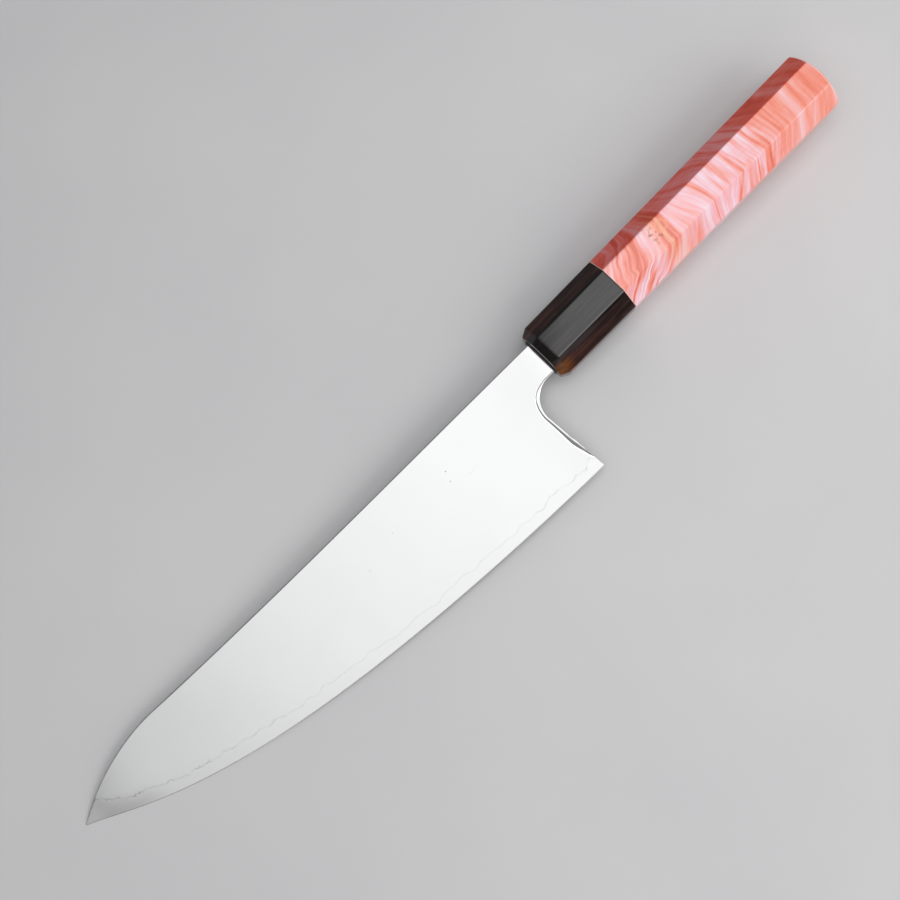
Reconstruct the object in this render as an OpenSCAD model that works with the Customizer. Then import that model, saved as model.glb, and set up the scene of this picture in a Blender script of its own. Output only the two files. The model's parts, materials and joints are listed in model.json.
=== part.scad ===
// Chef's knife: a three-layer blade with a hidden tang in an octagonal two-piece handle.
//
// The knife is drawn in its own frame: +X runs from the tip to the butt, +Y from the edge to the spine,
// +Z from the right side of the blade to its left side. That frame's origin is on the handle's axis,
// at the ferrule's front face. laid() then sets the knife down on the plane z = 0 as it lies on a table:
// on the lower front corner of the ferrule and on the belly of its edge, where its weight lets it come to
// rest. The origin ends under the box's middle.

/* [Blade outline] */
// Length of the cutting edge, heel to tip, measured along the handle's axis
blade_len = 210; // [150:1:270]
// Length of the neck, ferrule to heel
neck_len = 11.5; // [9:0.5:20]
// Height of the neck, spine to underside
neck_height = 12.9; // [10:0.1:15]
// How far the heel lies below the handle's axis
heel_drop = 41.2; // [32:0.2:50]
// How far the tip lies below the handle's axis
tip_drop = 1.4; // [-3:0.2:10]
// How far the spine's shoulder, where it turns down to the tip, lies above the handle's axis
shoulder_rise = 9.95; // [7:0.05:13]
// Distance from the tip to the spine's shoulder
shoulder_len = 43; // [25:1:60]
// Lean of the heel's back edge, in degrees
heel_lean = 3.8; // [0:0.2:8]
// Radius of the rounded choil between the neck and the heel
choil_r = 9.8; // [5:0.1:11]

/* [Edge and spine curves] */
// Angle of the edge at the heel, in degrees
edge_heel_angle = 1.6; // [0:0.1:4]
// Angle of the edge at the tip, in degrees
edge_tip_angle = 22; // [14:1:32]
// Share of the blade over which the edge keeps its heel direction
edge_flat_share = 0.78; // [0.5:0.02:0.84]
// Share of the blade over which the edge keeps its tip direction
edge_tip_share = 0.095; // [0.05:0.005:0.2]
// Angle of the spine at the neck, in degrees
spine_neck_angle = 0.9; // [0:0.1:2]
// Angle of the spine at its shoulder, in degrees
shoulder_angle = 2.8; // [0:0.1:5]
// Angle of the spine at the tip, in degrees
spine_tip_angle = 32; // [22:1:42]

/* [Blade section] */
// Thickness of the spine at the neck
spine_thick = 2.2; // [1.6:0.05:3]
// Thickness of the hard core layer
core_thick = 0.56; // [0.4:0.02:0.8]
// Thickness of the blade at the top of the small edge bevel
bevel_thick = 0.16; // [0.1:0.01:0.24]
// Height of the small edge bevel
bevel_height = 0.4; // [0.2:0.05:0.8]
// How strongly the sides bulge between edge and spine: 1 is a plain wedge
grind_power = 2.2; // [1.4:0.1:3]
// Distance over which the spine thins towards the tip
taper_len = 40; // [20:1:80]
// Rounding of the spine's corners
spine_round = 0.5; // [0.2:0.05:0.7]

/* [Layer line] */
// Height of the layer line above the edge
line_height = 4.6; // [3:0.1:8]
// Height of the layer line's waves
line_wave = 0.45; // [0:0.05:0.8]
// Distance from the tip to where the layer line runs out at the spine
line_end = 8; // [6:0.5:12]

/* [Tang] */
// How far the full neck goes into the ferrule
neck_entry = 4; // [2:0.5:4.5]
// Length of the hidden tang, from the ferrule's front face
tang_len = 78; // [60:1:84]
// Height of the tang at the neck
tang_height = 9.6; // [7:0.1:10]
// Height of the tang at its end
tang_end_height = 5; // [3:0.1:7]

/* [Handle] */
// Length of the handle, ferrule front to the top of the domed butt
handle_len = 137.4; // [125:0.2:150]
// Height of the handle at its front, edge side to spine side
front_height = 21.7; // [20:0.1:24]
// Width of the handle at its front, side to side
front_width = 18.5; // [17:0.1:20]
// Height of the handle at the butt
butt_height = 23.3; // [21:0.1:27]
// Width of the handle at the butt
butt_width = 20; // [18:0.1:23]
// Size of the corner cuts that make the octagon
corner_cut = 6; // [4:0.1:7]
// Radius of the domed butt
butt_r = 24; // [18:0.5:60]

/* [Ferrule] */
// Length of the ferrule
ferrule_len = 34.7; // [26:0.1:44]
// Length of the chamfer around the ferrule's front
chamfer_len = 3; // [1:0.1:5]
// Depth of the chamfer around the ferrule's front
chamfer_depth = 1.6; // [0.5:0.1:2]
// Thickness of the wall between the ferrule's front and the dowel's bore
mouth_wall = 5; // [4.6:0.1:8]

/* [Dowel and adhesive] */
// Diameter of the dowel
dowel_d = 12; // [11:0.1:13]
// Distance from the ferrule's front to the dowel's end
dowel_end = 90; // [86:1:105]
// Width of the slot that is sawn in the dowel for the tang
slot_width = 3.2; // [3.1:0.1:4]
// How far the sealer stands out of the ferrule's mouth
seal_out = 0.5; // [0.2:0.1:1]
// Width of the sealer's lip around the mouth
seal_lip = 0.6; // [0.3:0.1:1]

/* [Fits] */
// Clearance between glued pieces, on each side
glue_gap = 0.05; // [0.02:0.01:0.1]
// Clearance between the neck and the ferrule's mouth, on each side
mouth_gap = 0.25; // [0.15:0.05:0.4]
// Depth that the bores go past the dowel's ends
bore_relief = 0.5; // [0.3:0.1:1]

/* [Balance] */
// Share of the knife's weight that is steel
steel_share = 0.67; // [0.5:0.01:0.8]
// Share of the blade's length that the middle of the steel's weight lies ahead of the heel
steel_ahead = 0.314; // [0.25:0.002:0.4]
// Share of the heel's depth that the middle of the steel's weight lies below the axis
steel_below = 0.187; // [0.1:0.001:0.3]

/* [Hidden] */
$fn = 96;

steel = [0.80, 0.81, 0.82];
bright_steel = [0.90, 0.90, 0.91];
horn = [0.16, 0.10, 0.08];
pink_maple = [0.93, 0.55, 0.50];
pale_wood = [0.83, 0.72, 0.55];
resin = [0.75, 0.68, 0.45];
sealer = [0.12, 0.10, 0.09];

// How far cutting tools reach past what they cut
overcut = 2;

// ---- Blade outline ----

heel = [-neck_len, -heel_drop];
tip = [-neck_len - blade_len, -tip_drop];
neck_top = [0, neck_height / 2];
shoulder = [tip.x + shoulder_len, shoulder_rise];
spine_run = -shoulder.x;

// Shares of their stretch over which the curves of the spine keep the direction of their ends
spine_hold = 1 / 3;
shoulder_hold = 0.39;
point_hold = 0.28;

// Point at distance d from p, in the direction of angle a
function away(p, d, a) = p + d * [cos(a), sin(a)];

// Point at t from 0 to 1 on the cubic curve with end points and handles c
function cubic(c, t) =
    pow(1 - t, 3) * c[0] + 3 * pow(1 - t, 2) * t * c[1] + 3 * (1 - t) * t * t * c[2] + pow(t, 3) * c[3];

// Direction of the same curve at t, along the way it runs
function cubic_run(c, t) =
    pow(1 - t, 2) * (c[1] - c[0]) + 2 * (1 - t) * t * (c[2] - c[1]) + t * t * (c[3] - c[2]);

// y of the curve c at x, where x falls steadily along it, found by halving
function cubic_y(c, x, low = 0, high = 1, steps = 22) =
    let (middle = (low + high) / 2, p = cubic(c, middle))
    steps == 0 ? p.y
    : p.x > x ? cubic_y(c, x, middle, high, steps - 1)
    : cubic_y(c, x, low, middle, steps - 1);

edge_curve = [
    heel,
    away(heel, edge_flat_share * blade_len, 180 - edge_heel_angle),
    away(tip, edge_tip_share * blade_len, -edge_tip_angle),
    tip,
];
spine_curve = [
    neck_top,
    away(neck_top, spine_hold * spine_run, 180 - spine_neck_angle),
    away(shoulder, spine_hold * spine_run, -shoulder_angle),
    shoulder,
];
point_curve = [
    shoulder,
    away(shoulder, shoulder_hold * shoulder_len, 180 - shoulder_angle),
    away(tip, point_hold * shoulder_len, spine_tip_angle),
    tip,
];

function edge_y(x) = x >= heel.x ? heel.y : cubic_y(edge_curve, x);
function spine_y(x) =
    x >= 0 ? neck_top.y : x >= shoulder.x ? cubic_y(spine_curve, x) : cubic_y(point_curve, x);

// ---- Blade section ----

core_half = core_thick / 2;

// Half the thickness of the spine at distance s from the tip
function spine_half(s) =
    s < line_end ? core_half * (0.3 + 0.7 * s / line_end)
    : core_half + (spine_thick / 2 - core_half) * (1 - exp(-(s - line_end) / taper_len));

// Lengths of the layer line's two waves, the turn between them, and the length of its climb to the spine
long_wave = 23;
short_wave = 9.7;
wave_turn = 50;
climb_len = 3;

// Height of the layer line above the edge, at distance s from the tip, on a blade of height h there
function line_at(s, h) =
    let (
        wave = line_wave * (0.6 * sin(360 * s / long_wave) + 0.4 * sin(360 * s / short_wave + wave_turn)),
        climb = exp(-max(s - line_end, 0) / climb_len)
    )
    min(line_height + wave, 0.8 * h) * (1 - climb) + h * climb;

// Bulge of a ground side, 0 at the bottom of a stretch and 1 at its top
function bulge(f) = 1 - pow(1 - f, grind_power);

// Shares of the height at which a side has its points
core_shares = [0, 0.3, 0.6, 1];
side_steps = 8;
side_crowding = 1.3;
side_shares = [for (i = [0 : side_steps]) pow(i / side_steps, side_crowding)];
corner_turns = [30, 60, 90];

// One side of the core at a station, from above the edge to the spine, as [height above the edge, z]
function core_side(s, h) =
    let (
        z_top = min(core_half, spine_half(s)),
        low = min(bevel_height, 0.2 * h),
        z_low = min(bevel_thick / 2, 0.4 * z_top),
        line = s > line_end ? line_at(s, h) : 0.9 * h
    )
    concat(
        [for (f = core_shares) [low + f * (line - low), z_low + (z_top - z_low) * bulge(f)]],
        [[h, z_top]]
    );

// Outer side of a cladding layer at a station, from the layer line to the spine
function cladding_side(s, h) =
    let (
        line = line_at(s, h),
        r = min(spine_round, 0.3 * (h - line)),
        rise = spine_half(s) - core_half
    )
    concat(
        [for (f = side_shares) [line + f * (h - r - line), core_half + rise * bulge(f)]],
        [for (a = corner_turns) [h - r + r * sin(a), core_half + rise * cos(a)]]
    );

// Closed ring of points across the blade at x, from heights above the edge
function ring_at(x, side) = [for (p = side) [x, edge_y(x) + p[0], p[1]]];
function core_ring(x) =
    let (s = x - tip.x, h = spine_y(x) - edge_y(x), side = core_side(s, h))
    ring_at(x, concat([[0, 0]], side, [for (i = [len(side) - 1 : -1 : 0]) [side[i][0], -side[i][1]]]));
function cladding_ring(x) =
    let (s = x - tip.x, h = spine_y(x) - edge_y(x))
    ring_at(x, cladding_side(s, h));

// Stations along the blade, closer together towards the tip, and on to the end of the tang
station_count = 76;
station_crowding = 1.35;
tip_start = 0.3;
cladding_start = line_end + 1.2;
function stations(first) = concat(
    [for (i = [0 : station_count])
        tip.x + first + (blade_len - first) * pow(i / station_count, station_crowding)],
    [-neck_len / 2, 0, tang_len]
);

// Solid skinned over rings with the same number of points
module skin(rings) {
    n = len(rings[0]);
    last = len(rings) - 1;
    sides = [for (i = [0 : last - 1], j = [0 : n - 1])
        let (a = i * n + j, b = i * n + (j + 1) % n, c = a + n, d = b + n)
        each [[a, b, d], [a, d, c]]];
    front_cap = [[for (j = [n - 1 : -1 : 0]) j]];
    back_cap = [[for (j = [0 : n - 1]) last * n + j]];
    faces = concat(sides, front_cap, back_cap);
    polyhedron(points = [for (r = rings) each r], faces = faces, convexity = 4);
}

// ---- Neck, choil and tang ----

// The choil's arc touches the underside of the neck and the heel's back edge
choil_centre = let (y = -neck_height / 2 - choil_r)
    [heel.x + (choil_r - (y - heel.y) * sin(heel_lean)) / cos(heel_lean), y];
choil_steps = 20;
choil_arc = [for (i = [0 : choil_steps])
    away(choil_centre, choil_r, 180 + heel_lean + (90 - 180 - heel_lean) * i / choil_steps)];

// What is cut away below the neck and the tang, behind the heel
module waste_below() {
    far = tang_len + overcut;
    deep = heel.y - 4 * overcut;
    polygon(concat(
        [[heel.x - (deep - heel.y) * tan(heel_lean), deep]],
        choil_arc,
        [[neck_entry, -neck_height / 2], [neck_entry, -tang_height / 2], [tang_len, -tang_end_height / 2],
         [far, -tang_end_height / 2], [far, deep]]
    ));
}

// What is cut away above the tang
module waste_above() {
    far = tang_len + overcut;
    high = neck_height / 2 + overcut;
    polygon([[neck_entry, high], [neck_entry, tang_height / 2], [tang_len, tang_end_height / 2],
             [far, tang_end_height / 2], [far, high]]);
}

module cut_to_tang() {
    difference() {
        children();
        linear_extrude(height = 2 * spine_thick, center = true) waste_below();
        linear_extrude(height = 2 * spine_thick, center = true) waste_above();
    }
}

// Block that clears the tang by the glue gap
module tang_room() {
    linear_extrude(height = spine_thick + 2 * glue_gap, center = true) {
        polygon([
            [neck_entry - overcut, -tang_height / 2 - glue_gap],
            [tang_len + glue_gap, -tang_end_height / 2 - glue_gap],
            [tang_len + glue_gap, tang_end_height / 2 + glue_gap],
            [neck_entry - overcut, tang_height / 2 + glue_gap],
        ]);
    }
}

// Block around the neck, from x0 to x1, that clears it by gap
module neck_block(x0, x1, gap) {
    translate([x0, -neck_height / 2 - gap, -spine_thick / 2 - gap])
        cube([x1 - x0, neck_height + 2 * gap, spine_thick + 2 * gap]);
}

// ---- Handle ----

dome_centre = handle_len - butt_r;
dowel_start = mouth_wall + bore_relief;
slot_end = tang_len + bore_relief;

// Everything beyond the plane with normal n at distance d (both scaled by the normal's length)
module beyond(n, d) {
    reach = 4 * handle_len;
    rotate([0, acos(n.z / norm(n)), atan2(n.y, n.x)])
        translate([-reach / 2, -reach / 2, d / norm(n)]) cube(reach);
}

// Cuts eight facets: high and wide are half sizes at x = 0, rise_y and rise_z their growth per millimetre
module facet_cuts(high, wide, cut, rise_y, rise_z) {
    for (side = [-1, 1]) {
        beyond([-rise_y, side, 0], high);
        beyond([-rise_z, 0, side], wide);
        for (other = [-1, 1]) beyond([-rise_y - rise_z, side, other], high + wide - cut);
    }
}

// Octagonal bar that widens towards the butt, from x0 to x1
module octagon_bar(x0, x1) {
    side = 2 * max(butt_height, butt_width);
    difference() {
        translate([x0, -side / 2, -side / 2]) cube([x1 - x0, side, side]);
        facet_cuts(front_height / 2, front_width / 2, corner_cut,
            (butt_height - front_height) / 2 / handle_len, (butt_width - front_width) / 2 / handle_len);
    }
}

module rod(d, x0, x1) {
    translate([x0, 0, 0]) rotate([0, 90, 0]) cylinder(d = d, h = x1 - x0);
}

// ---- How the knife lies ----

// Lower front corner of the ferrule on the edge side, behind its chamfer
ferrule_foot = let (grow = chamfer_len / handle_len) [
    chamfer_len,
    -(front_height + (butt_height - front_height) * grow) / 2 + corner_cut,
    -(front_width + (butt_width - front_width) * grow) / 2,
];

// Point of the edge at t on its curve, and the upward normal of the plane that touches the edge there
// and the ferrule's foot
function edge_foot(t) = let (p = cubic(edge_curve, t)) [p.x, p.y, 0];
function up_at(t) =
    let (run = cubic_run(edge_curve, t), n = cross(ferrule_foot - edge_foot(t), [run.x, run.y, 0]))
    n / norm(n);

// The knife is at rest when its weight stands over the line between its two feet. This is how far it
// stands to the spine side of that line, found to be zero by halving.
balance = steel_share * [heel.x - steel_ahead * blade_len, -steel_below * heel_drop, 0]
    + (1 - steel_share) * [handle_len / 2, 0, 0];
function excess(t) = (balance - ferrule_foot) * cross(up_at(t), edge_foot(t) - ferrule_foot);
function rest_between(low, high, steps = 22) =
    let (middle = (low + high) / 2)
    steps == 0 ? middle
    : excess(middle) < 0 ? rest_between(middle, high, steps - 1)
    : rest_between(low, middle, steps - 1);

resting = rest_between(0, 1);
table_up = up_at(resting);
roll = atan2(table_up.y, table_up.z);
pitch = asin(table_up.x);

// A point of the knife after it is laid down, before it is centred
function laid_point(p) =
    let (y = p.y * cos(roll) - p.z * sin(roll), z = p.y * sin(roll) + p.z * cos(roll))
    [p.x * cos(pitch) - z * sin(pitch), y, p.x * sin(pitch) + z * cos(pitch)];

// The box's ends: tip, dome, heel, and the lower corner of the butt on the spine side
corner_y = butt_height / 2;
corner_z = corner_cut - butt_width / 2;
dome_edge_x = dome_centre + sqrt(pow(butt_r, 2) - pow(corner_y, 2) - pow(corner_z, 2));
middle_x = (laid_point([tip.x, tip.y, 0]).x + laid_point([dome_centre, 0, 0]).x + butt_r) / 2;
middle_y = (laid_point([heel.x, heel.y, 0]).y + laid_point([dome_edge_x, corner_y, corner_z]).y) / 2;
floor_z = laid_point(ferrule_foot).z;

module laid() {
    translate([-middle_x, -middle_y, -floor_z]) rotate([roll, -pitch, 0]) children();
}

// ---- Pieces ----

module core_steel() {
    color(bright_steel) laid() cut_to_tang() skin([for (x = stations(tip_start)) core_ring(x)]);
}

// Outer layer on the +Z side
module cladding() {
    cut_to_tang() skin([for (x = stations(cladding_start)) cladding_ring(x)]);
}

module cladding_left() {
    color(steel) laid() cladding();
}

module cladding_right() {
    color(steel) laid() mirror([0, 0, 1]) cladding();
}

module ferrule() {
    slope = chamfer_depth / chamfer_len;
    color(horn) laid() difference() {
        octagon_bar(0, ferrule_len);
        facet_cuts(front_height / 2 - chamfer_depth, front_width / 2 - chamfer_depth,
            corner_cut - chamfer_depth * (2 - sqrt(2)), slope, slope);
        rod(dowel_d + 2 * glue_gap, mouth_wall, ferrule_len + overcut);
        neck_block(-overcut, mouth_wall + overcut, mouth_gap);
    }
}

module handle_body() {
    color(pink_maple) laid() intersection() {
        difference() {
            octagon_bar(ferrule_len + glue_gap, handle_len);
            rod(dowel_d + 2 * glue_gap, ferrule_len - overcut, dowel_end + bore_relief);
        }
        union() {
            rod(2 * butt_r, 0, dome_centre);
            translate([dome_centre, 0, 0]) sphere(butt_r);
        }
    }
}

module tang_dowel() {
    color(pale_wood) laid() difference() {
        rod(dowel_d, dowel_start, dowel_end);
        translate([dowel_start - overcut, -dowel_d, -slot_width / 2])
            cube([slot_end - dowel_start + overcut, 2 * dowel_d, slot_width]);
    }
}

// Fills the dowel's slot around the tang
module tang_adhesive() {
    fill = slot_width - 2 * glue_gap;
    color(resin) laid() difference() {
        intersection() {
            rod(dowel_d, dowel_start, slot_end - glue_gap);
            translate([dowel_start - overcut, -dowel_d, -fill / 2]) cube([tang_len, 2 * dowel_d, fill]);
        }
        tang_room();
    }
}

module mouth_seal() {
    color(sealer) laid() difference() {
        union() {
            neck_block(-seal_out, 0, mouth_gap + seal_lip);
            neck_block(-seal_out, neck_entry, mouth_gap - glue_gap);
        }
        neck_block(-seal_out - overcut, neck_entry + overcut, glue_gap);
    }
}

core_steel();
cladding_left();
cladding_right();
ferrule();
handle_body();
tang_dowel();
tang_adhesive();
mouth_seal();
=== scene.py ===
"""Chef's knife: a mirror-polished layered blade, a dark horn ferrule and a pink maple handle.

Every shape is worked out in the knife's own frame, in metres: x runs from the tip to the butt, y from
the edge to the spine and z from the blade's right side to its left side, with the origin on the handle's
axis at the ferrule's front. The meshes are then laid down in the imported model's frame.
"""

import json
import math

import bpy
import numpy as np
from mathutils import Matrix, Vector


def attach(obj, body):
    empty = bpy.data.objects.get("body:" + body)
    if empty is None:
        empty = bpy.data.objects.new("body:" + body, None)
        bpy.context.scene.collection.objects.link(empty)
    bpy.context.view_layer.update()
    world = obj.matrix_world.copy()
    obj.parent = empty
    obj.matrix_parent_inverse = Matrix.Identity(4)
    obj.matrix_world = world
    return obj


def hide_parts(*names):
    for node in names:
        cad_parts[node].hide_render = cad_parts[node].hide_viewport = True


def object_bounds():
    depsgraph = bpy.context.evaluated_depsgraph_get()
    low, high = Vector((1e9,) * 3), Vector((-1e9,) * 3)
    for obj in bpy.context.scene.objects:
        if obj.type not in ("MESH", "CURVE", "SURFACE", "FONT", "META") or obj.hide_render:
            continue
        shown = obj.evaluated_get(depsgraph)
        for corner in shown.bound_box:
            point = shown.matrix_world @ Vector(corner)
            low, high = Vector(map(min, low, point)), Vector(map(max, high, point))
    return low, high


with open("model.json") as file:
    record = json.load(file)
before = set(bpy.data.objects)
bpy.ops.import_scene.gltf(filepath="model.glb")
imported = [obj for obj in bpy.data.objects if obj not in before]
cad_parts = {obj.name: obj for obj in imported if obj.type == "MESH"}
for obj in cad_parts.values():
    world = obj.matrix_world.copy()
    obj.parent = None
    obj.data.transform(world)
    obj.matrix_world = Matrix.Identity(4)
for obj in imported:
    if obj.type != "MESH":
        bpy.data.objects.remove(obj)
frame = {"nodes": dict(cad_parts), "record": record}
cad_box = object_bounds()

MM = 0.001

# Places nearer to each other than this count as one
NEAR = 0.01 * MM


# ---- The knife's own frame, and what the frame's solids say about its sizes ----

def knife_frame():
    """The matrix that lays the knife down, from the mounts and the front of the ferrule."""
    mounts = {m["name"]: m for m in frame["record"]["mounts"]}
    along = Vector(mounts["grip"]["axis"]).normalized()
    across = Vector(mounts["blade_side"]["axis"])
    across = (across - along * across.dot(along)).normalized()
    upward = across.cross(along)
    grip = Vector(mounts["grip"]["pos_m"])
    front = min((v.co - grip).dot(along) for v in frame["nodes"]["ferrule"].data.vertices)
    laid = Matrix((along, upward, across)).transposed().to_4x4()
    laid.translation = grip + along * front
    return laid


LAID = knife_frame()
UNLAID = LAID.inverted()


def solid_points(node):
    """The corners of a solid, in the knife's frame."""
    mesh = frame["nodes"][node].data
    points = np.empty(len(mesh.vertices) * 3, np.float32)
    mesh.vertices.foreach_get("co", points)
    turn = np.array(UNLAID.to_3x3())
    return points.reshape(-1, 3).astype(float) @ turn.T + np.array(UNLAID.translation)


def run_of(points, pick_high):
    """The highest or lowest point at each place along the knife, from the tip on."""
    best = {}
    for x, y in points:
        key = round(x / MM, 2)
        if key not in best or (y > best[key][1]) == pick_high:
            best[key] = (x, y)
    return np.array([best[key] for key in sorted(best)])


class Smooth:
    """A smooth curve through points, y as a function of x."""

    def __init__(self, points):
        self.x, self.y = points[:, 0], points[:, 1]
        self.slope = np.gradient(self.y, self.x, edge_order=2)

    def __call__(self, x):
        x = np.clip(x, self.x[0], self.x[-1])
        i = np.clip(np.searchsorted(self.x, x) - 1, 0, len(self.x) - 2)
        run = self.x[i + 1] - self.x[i]
        t = (x - self.x[i]) / run
        rise = self.slope[i] * run * (t - 2 * t**2 + t**3) + self.slope[i + 1] * run * (t**3 - t**2)
        return rise + self.y[i] + (self.y[i + 1] - self.y[i]) * (3 * t**2 - 2 * t**3)


steel = solid_points("core_steel")
on_edge = steel[np.abs(steel[:, 2]) < NEAR][:, :2]
HEEL = on_edge[np.argmin(on_edge[:, 1])]
on_edge = on_edge[on_edge[:, 0] <= HEEL[0] + NEAR]
edge_line = Smooth(run_of(on_edge, False))
TIP = np.array([edge_line.x[0], edge_line.y[0]])
above_tip = (steel[:, 0] <= NEAR) & (steel[:, 1] > TIP[1] - NEAR)
on_spine = steel[above_tip & (np.abs(steel[:, 2]) > NEAR)][:, :2]
spine_line = Smooth(run_of(on_spine, True))
NECK_HALF = float(spine_line(0.0))
TANG_END = steel[:, 0].max()
TANG_END_HALF = steel[steel[:, 0] > TANG_END - NEAR][:, 1].max()

FERRULE = solid_points("ferrule")
FERRULE_LEN = FERRULE[:, 0].max()
HANDLE_LEN = solid_points("handle_body")[:, 0].max()

CHAMFER_LEN = 3 * MM
CHAMFER_DEPTH = 1.6 * MM


def octagon_sizes():
    """Half height, half width and corner cut of the octagon at the ferrule's rear, and how they grow."""
    rear = FERRULE[FERRULE[:, 0] > FERRULE_LEN - NEAR]
    nose = FERRULE[(FERRULE[:, 0] > 0.5 * CHAMFER_LEN) & (FERRULE[:, 0] < 2 * CHAMFER_LEN)]
    sizes, growth = [], []
    for side in (1, 2):
        sizes.append(rear[:, side].max())
        widest = nose[np.argmax(nose[:, side])]
        growth.append((sizes[-1] - widest[side]) / (FERRULE_LEN - widest[0]))
    top = rear[rear[:, 1] > sizes[0] - NEAR]
    return np.array([*sizes, sizes[1] - np.abs(top[:, 2]).max()]), np.array([*growth, 0])


OCTAGON_REAR, OCTAGON_GROWTH = octagon_sizes()


def octagon(x):
    """Half height, half width and corner cut of the octagon at x."""
    return OCTAGON_REAR + OCTAGON_GROWTH * (x - FERRULE_LEN)


# ---- Meshes ----

def make_piece(name, points, faces, finish, replaced, marks=None):
    """A piece of the knife from points in the knife's frame, laid down and kept within the solids' box.

    The marks are values at its points that its finish reads.
    """
    turn = np.array(LAID.to_3x3())
    placed = np.asarray(points, float) @ turn.T + np.array(LAID.translation)
    placed = np.clip(placed, *np.array(cad_box))
    mesh = bpy.data.meshes.new(name)
    mesh.from_pydata(placed.tolist(), [], faces)
    mesh.validate()
    mesh.update()
    mesh.polygons.foreach_set("use_smooth", [True] * len(mesh.polygons))
    for mark, values in (marks or {}).items():
        mesh.attributes.new(mark, "FLOAT", "POINT").data.foreach_set("value", values)
    piece = bpy.data.objects.new(name, mesh)
    bpy.context.collection.objects.link(piece)
    piece.data.materials.append(finish)
    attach(piece, "root")
    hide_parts(*replaced)


class Skin:
    """Collects the points and faces of a closed surface, and welds points that coincide."""

    WELD = 0.0001 * MM

    def __init__(self):
        self.index, self.kept, self.points = {}, {}, []

    @property
    def faces(self):
        return list(self.kept.values())

    def point(self, p):
        """The index of a point, which is added if it is new."""
        key = tuple(int(round(c / self.WELD)) for c in p)
        if key not in self.index:
            self.index[key] = len(self.points)
            self.points.append(tuple(float(c) for c in p))
        return self.index[key]

    def face(self, corners, flip):
        """Adds a face, unless it has no area. Where it lies back to back with another one, both go."""
        face = [c for i, c in enumerate(corners) if c != corners[i - 1]]
        if len(set(face)) < 3:
            return
        if frozenset(face) in self.kept:
            del self.kept[frozenset(face)]
        else:
            self.kept[frozenset(face)] = face[::-1] if flip else face

    def grid(self, rows, flip=False, closed=False):
        """Faces over a grid of points, given as rows of points. A closed grid joins its last column."""
        ids = [[self.point(p) for p in row] for row in rows]
        for a, b in zip(ids, ids[1:]):
            for j in range(len(a) if closed else len(a) - 1):
                k = (j + 1) % len(a)
                self.face([a[j], a[k], b[k], b[j]], flip)

    def bridge(self, line, flip=False):
        """Faces between a line on the left side and its mirror image on the right side."""
        self.grid([line, line * np.array([1, 1, -1])], flip)

    def cap(self, ring, flip=False):
        """One face inside a ring of points."""
        self.face([self.point(p) for p in ring], flip)


def rounded(before, corner, after, steps):
    """Points, or rings of points, that round a corner from before it to after it."""
    shares = np.linspace(0, 1, steps + 1)
    return [(1 - t) ** 2 * before + 2 * t * (1 - t) * corner + t**2 * after for t in shares]


# ---- Blade ----

CORE_HALF = 0.28 * MM
CORE_FADE = 2 * MM
SPINE_HALF = 1.1 * MM
EDGE_HALF = 0.08 * MM
EDGE_HIGH = 0.16 * MM
GRIND_POWER = 2.2
TAPER_LEN = 38 * MM
SPINE_ROUND = 0.5 * MM
SPINE_ROUND_SHARE = 0.6
CHOIL_R = 9.8 * MM
HEEL_LEAN = math.radians(3.8)
LINE_END = 8 * MM

# Behind the neck a short shoulder leads to the hidden tang, which narrows from TANG_HALF to TANG_END_HALF
NECK_END = 4 * MM
SHOULDER = 0.4 * MM
TANG_HALF = 4.8 * MM

# The rim along the heel's back edge, the choil and the neck is filed to a bevel and rounded outside it.
# At each run from the layer line, in millimetres: how wide both are, and their slopes from inside outwards.
RIM_RUN = (0, 2, 5.5, 9, 12.5, 16, 20, 24, 28, 31, 33, 36, 45)
FILED_WIDTH = (0.6, 0.8, 1.2, 1.35, 1.05, 0.85, 0.73, 0.5, 0.4, 0.36, 0.3, 0.25, 0.2)
ROUNDED_WIDTH = (0.3, 0.3, 0.32, 0.55, 0.65, 0.64, 0.64, 0.9, 1.3, 0.85, 0.45, 0.2, 0.15)
FILED_START = (0, 0.12, 0.19, 0.215, 0.22, 0.23, 0.23, 0.23, 0.23, 0.23, 0.23, 0.23, 0.2)
FILED_END = (0, 0.2, 0.26, 0.28, 0.29, 0.28, 0.28, 0.28, 0.28, 0.28, 0.28, 0.27, 0.25)
ROUNDED_START = (0, 0.25, 0.45, 0.48, 0.48, 0.48, 0.46, 0.46, 0.46, 0.44, 0.4, 0.36, 0.3)
ROUNDED_END = (0, 0.35, 0.6, 0.62, 0.62, 0.62, 0.62, 0.62, 0.6, 0.56, 0.52, 0.5, 0.45)

# The blade's side is a grid of ribs, closer together towards the tip. These are how many of them stand on
# the layer line, the heel's back edge, the choil, the neck and the tang, and how many points each has
# between its foot and its head.
RIB_COUNT = 440
RIB_CROWDING = 1.12
BACK_POINTS = 44
CHOIL_POINTS = 50
NECK_POINTS = 12
TANG_RIBS = 14
SIDE_POINTS = 27

# Shares at which a rib has points: across the rounding, across the bevel and up the spine's rounded corner,
# which starts CROWN_DEEP below the spine. The core's bare strip has points at STRIP_STEPS.
ROUNDED_STEPS = (0, 0.15, 0.35, 0.55, 0.75, 0.92)
FILED_STEPS = (0.0, 0.08, 0.3, 0.55, 0.8, 0.95, 1.03, 1.15)
CROWN_STEPS = (0.3, 0.55, 0.75, 0.9, 1)
CROWN_DEEP = 0.6 * MM
STRIP_STEPS = (0.01, 0.12, 0.25, 0.4, 0.55, 0.7, 0.85, 0.94, 0.985, 1)

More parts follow.
